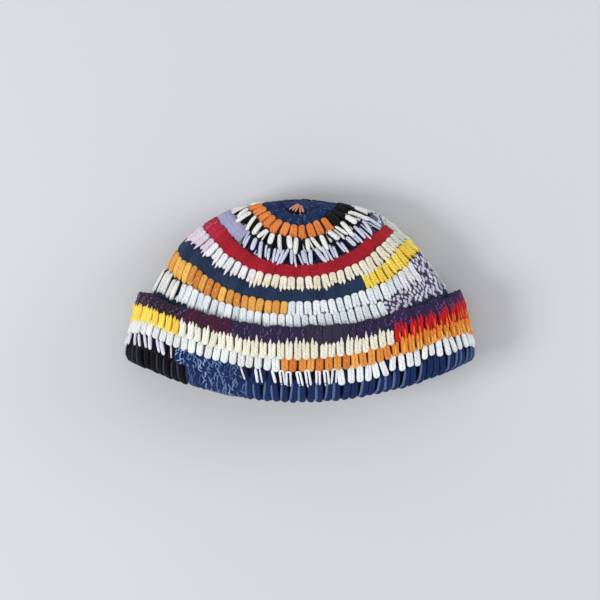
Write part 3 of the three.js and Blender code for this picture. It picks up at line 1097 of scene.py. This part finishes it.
def core_painted_shades(face, rows, chart):
    """The chart's colour at each point of a grid, darkened as painted shade."""
    painted_shades = []
    counts = settled(face)
    for row in rows:
        place = np.argmin(np.abs(FACES[face][0] - row))
        ring, right, left = sides_of(face, row)
        columns = len(ring) - 1
        for c in range(0, columns, CORE_STEP):
            line = chart[int(np.clip(math.floor(counts[place, c]), 0, len(chart) - 1))]
            first, second, how = yarn_at(line, c / columns, right, left, ring[c, 0])
            ground = second if how in SHOWS_GROUND else first
            painted_shades.append((*linear(ground) * CORE_PAINTED_SHADE.get(how, OPEN_PAINTED_SHADE), 1))
    return painted_shades


def face_outwards(mesh):
    work = bmesh.new()
    work.from_mesh(mesh)
    bmesh.ops.recalc_face_normals(work, faces=work.faces)
    work.to_mesh(mesh)
    work.free()


def core(name, face, node, chart, last_row, closed_start):
    """A thin closed shell under a face, from its start to a row."""
    rows, grid, out = FACES[face]
    last = np.argmin(np.abs(rows - last_row))
    picked = [*range(0, last, CORE_STEP), last]
    rows, grid, out = rows[picked], grid[picked, :-1:CORE_STEP], out[picked, :-1:CORE_STEP]
    high, wide = grid.shape[:2]
    size = high * wide
    points = np.concatenate([grid + out * CORE_TOP, grid + out * CORE_BOTTOM]).reshape(-1, 3)
    points[:, 2] = np.maximum(points[:, 2], TABLE_SKIN / MM)
    faces = []
    for r in range(high - 1):
        for c in range(wide):
            a, b = r * wide + c, r * wide + (c + 1) % wide
            faces.append((a, b, b + wide, a + wide))
            faces.append((a + size, a + wide + size, b + wide + size, b + size))
    edge = (high - 1) * wide
    for c in range(wide):
        a, b = c, (c + 1) % wide
        faces.append((a + edge, b + edge, b + edge + size, a + edge + size))
        if not closed_start:
            faces.append((a, a + size, b + size, b))
    if closed_start:
        faces.append(tuple(range(wide))[::-1])
        faces.append(tuple(range(size, size + wide)))
    made = mesh_object(name, points * MM, faces)
    # The shell's colour is painted shade, for the shadow between the stitches.
    painted_shades = core_painted_shades(face, rows, chart)
    painted_shade = made.data.attributes.new("yarn_colour", "FLOAT_COLOR", "POINT")
    painted_shade.data.foreach_set("color", np.ravel([painted_shades, painted_shades]))
    face_outwards(made.data)
    made.data.shade_smooth()
    made.data.materials.append(yarn)
    stands_for(made, node)
    print(name, "has", len(faces), "faces")


core("crown_core", "crown", "crown", CROWN_CHART, FOLD_ROW, True)
core("cuff_core", "cuff", "cuff", CUFF_CHART, len(CUFF) - 1, False)

# %% [markdown]
# ## Floor, light and camera
#
# The camera looks straight down on the cap from high above, as in a picture of things laid flat,
# through a very long lens. A large soft light from the left lets a soft shadow fall to the right,
# and a weak one from the right keeps the yarn there from going dark.

# %% Floor
FLOOR = 6.0
FLOOR_FINISH = {"Base Color": (0.56, 0.57, 0.59, 1), "Roughness": 0.8}


def floor():
    half = FLOOR / 2
    corners = [(-half, -half, 0), (half, -half, 0), (half, half, 0), (-half, half, 0)]
    made = mesh_object("floor", corners, [(0, 1, 2, 3)])
    made.data.materials.append(new_material("pale_floor", FLOOR_FINISH)[0])


floor()

# %% Camera
CAMERA_HEIGHT = 6.0
PIXELS, MM_PER_PIXEL = 600, 0.73
VIEW_WIDTH = PIXELS * MM_PER_PIXEL * MM


def camera():
    data = bpy.data.cameras.new("camera")
    data.lens = data.sensor_width * CAMERA_HEIGHT / VIEW_WIDTH
    made = bpy.data.objects.new("camera", data)
    made.location = (0, 0, CAMERA_HEIGHT)
    bpy.context.scene.collection.objects.link(made)
    bpy.context.scene.camera = made


camera()


# %% Light
def soft_light(name, place, size, power):
    data = bpy.data.lights.new(name, "AREA")
    data.shape = "DISK"
    data.size = size
    data.energy = power
    made = bpy.data.objects.new(name, data)
    made.location = place
    away = np.array(place) / np.linalg.norm(place)
    made.rotation_euler = (math.acos(away[2]), 0, math.atan2(away[1], away[0]) + math.pi / 2)
    bpy.context.scene.collection.objects.link(made)


def sky(colour, strength):
    world = bpy.data.worlds.new("soft_room")
    world.use_nodes = True
    background = world.node_tree.nodes["Background"]
    background.inputs["Color"].default_value = colour
    background.inputs["Strength"].default_value = strength
    bpy.context.scene.world = world


soft_light("window", place=(-1.7, -0.5, 1.6), size=0.9, power=33)
soft_light("fill", place=(1.9, 0.5, 0.9), size=1.2, power=15)
sky(colour=(0.95, 0.97, 1.0, 1), strength=0.74)
bpy.context.scene.view_settings.view_transform = "Standard"

# %% [markdown]
# ## Put the tools away and finish
#
# Guides and stitch kinds were only tools, so they go.

# %% Finish
for tool in [*guides.values(), *kinds.objects]:
    bpy.data.objects.remove(tool)
bpy.data.collections.remove(kinds)
